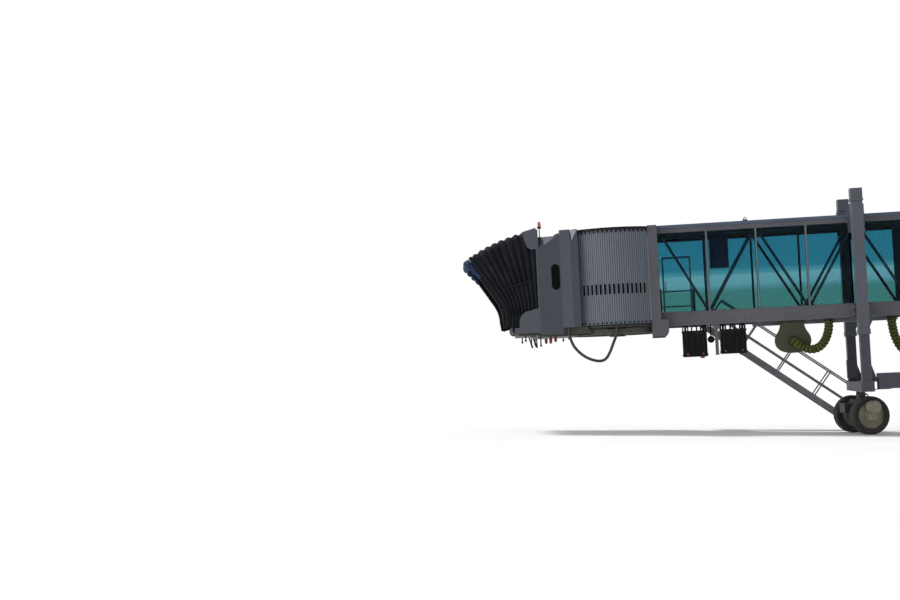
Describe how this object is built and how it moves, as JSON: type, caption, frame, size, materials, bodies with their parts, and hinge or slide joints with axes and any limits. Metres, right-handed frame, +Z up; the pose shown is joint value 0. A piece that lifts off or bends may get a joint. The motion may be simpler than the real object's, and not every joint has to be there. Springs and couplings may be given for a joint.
{
  "type": "passenger boarding bridge, apron drive",
  "caption": "Glazed telescoping boarding bridge on a terminal column and a wheeled lift bogie, with a turning cab, pleated canopy and service stair.",
  "frame": {"origin": "centre of the terminal column's base plate, at its underside, on the ground", "axes": "+Z up, +X from the bridge towards the terminal, -X towards the aircraft, -Y the side with the hoses and cable hoists"},
  "size_m": [30.1856, 4.7746, 7.6619],
  "materials": {
    "tunnel_paint": "satin",
    "galvanised_steel": "matt zinc",
    "tunnel_glass": "tinted, clear",
    "cab_glass": "dark tint",
    "cab_paint": "satin",
    "curtain_slats": "satin",
    "olive_paint": "matt",
    "dark_rim": "matt",
    "canopy_fabric": "coated fabric",
    "canopy_pad": "foam pad under a coated cover",
    "reel_paint": "satin",
    "hose_fabric": "ribbed coated fabric",
    "hoist_paint": "satin",
    "unit_paint": "satin",
    "motor_paint": "gloss",
    "tyre_rubber": "matt",
    "lamp_lens": "clear amber",
    "cable_sheath": "matt"
  },
  "bodies": {
    "terminal_base": {"pedestal_column": "tunnel_paint", "corridor_frame": "tunnel_paint", "rotunda_floor": "tunnel_paint", "rotunda_roof": "tunnel_paint"},
    "rotunda": {"rotunda_portal": "tunnel_paint", "rotunda_curtains": "curtain_slats"},
    "inner_tunnel": {"inner_floor": "tunnel_paint", "inner_roof": "tunnel_paint", "inner_side_near": "tunnel_paint", "inner_side_far": "tunnel_paint", "inner_glass": "tunnel_glass"},
    "outer_tunnel": {"outer_floor": "tunnel_paint", "outer_roof": "tunnel_paint", "outer_side_near": "tunnel_paint", "outer_side_far": "tunnel_paint", "outer_glass": "tunnel_glass", "front_portal": "tunnel_paint", "rear_portal": "tunnel_paint", "lift_column_near": "tunnel_paint", "lift_column_far": "tunnel_paint", "lift_motors": "tunnel_paint", "service_door": "cab_paint", "stair_landing": "galvanised_steel", "hose_reel": "reel_paint", "air_hoses": "hose_fabric", "cable_hoists": "hoist_paint", "cable_tray": "tunnel_paint", "ceiling_unit": "unit_paint", "turntable_frame": "olive_paint", "turntable_roof": "dark_rim"},
    "lift_frame": {"lift_legs": "tunnel_paint", "cross_beam": "tunnel_paint"},
    "rocker": {"rocker_block": "tunnel_paint"},
    "bogie": {"bogie_frame": "tunnel_paint", "drive_motors": "motor_paint"},
    "near_wheel": {"wheel_near": "tyre_rubber"},
    "far_wheel": {"wheel_far": "tyre_rubber"},
    "stair": {"stair_flight": "galvanised_steel", "stair_rails": "galvanised_steel", "stair_wheels": "tyre_rubber"},
    "cab": {"cab_floor": "cab_paint", "cab_roof": "cab_paint", "cab_walls": "cab_paint", "cab_windows": "cab_glass", "curtain_boxes": "cab_paint", "canopy_shields": "cab_paint", "cab_lamps": "lamp_lens", "cab_curtains": "curtain_slats", "cab_cable": "cable_sheath"},
    "canopy": {"canopy_front": "canopy_pad", "canopy_bellows": "canopy_fabric"}
  },
  "joints": [
    {"name": "rotunda_swing", "type": "hinge", "parent": "terminal_base", "child": "rotunda", "pos_m": [0, 0, 0], "axis": [0, 0, 1], "range_deg": [-60, 60], "deforming": ["rotunda_curtains"]},
    {"name": "tunnel_lift", "type": "hinge", "parent": "rotunda", "child": "inner_tunnel", "pos_m": [-2.3, 0, 4.66], "axis": [0, 1, 0], "range_deg": [-2, 4.4]},
    {"name": "tunnel_extend", "type": "slide", "parent": "inner_tunnel", "child": "outer_tunnel", "axis": [-0.999, 0, -0.0454], "range_m": [-5.2, 2]},
    {"name": "leg_lift", "type": "slide", "parent": "outer_tunnel", "child": "lift_frame", "axis": [0.0454, 0, -0.999], "range_m": [-0.48, 1.05]},
    {"name": "bogie_rock", "type": "hinge", "parent": "lift_frame", "child": "rocker", "pos_m": [-15.22544, 0, 1.18], "axis": [0, 1, 0], "range_deg": [-5, 5]},
    {"name": "bogie_steer", "type": "hinge", "parent": "rocker", "child": "bogie", "pos_m": [-15.22544, 0, 1.18], "axis": [0, 0, 1], "range_deg": [-80, 80]},
    {"name": "near_wheel_spin", "type": "hinge", "parent": "bogie", "child": "near_wheel", "pos_m": [-15.06951, -0.73361, 0.6], "axis": [-0.2079, 0.9781, 0], "continuous": true},
    {"name": "far_wheel_spin", "type": "hinge", "parent": "bogie", "child": "far_wheel", "pos_m": [-15.38138, 0.73361, 0.6], "axis": [-0.2079, 0.9781, 0], "continuous": true},
    {"name": "stair_tilt", "type": "hinge", "parent": "outer_tunnel", "child": "stair", "pos_m": [-20.25696, 0, 3.63436], "axis": [0, 1, 0], "range_deg": [-5.9, 11.7]},
    {"name": "cab_turn", "type": "hinge", "parent": "outer_tunnel", "child": "cab", "pos_m": [-22.92059, 0, 3.32321], "axis": [-0.0454, 0, 0.999], "range_deg": [-53, 37], "deforming": ["cab_curtains", "cab_cable"]},
    {"name": "canopy_fold", "type": "hinge", "parent": "cab", "child": "canopy", "pos_m": [-26.23911, -0.46623, 3.27262], "axis": [-0.139, 0.9903, -0.0063], "range_deg": [-6, 30], "deforming": ["canopy_bellows"]}
  ],
  "couplings": [
    {"joint": "leg_lift", "follows": "tunnel_lift", "m_per_rad": 13.07},
    {"joint": "bogie_rock", "follows": "tunnel_lift", "ratio": -1},
    {"joint": "stair_tilt", "follows": "tunnel_lift", "ratio": 2.439}
  ]
}
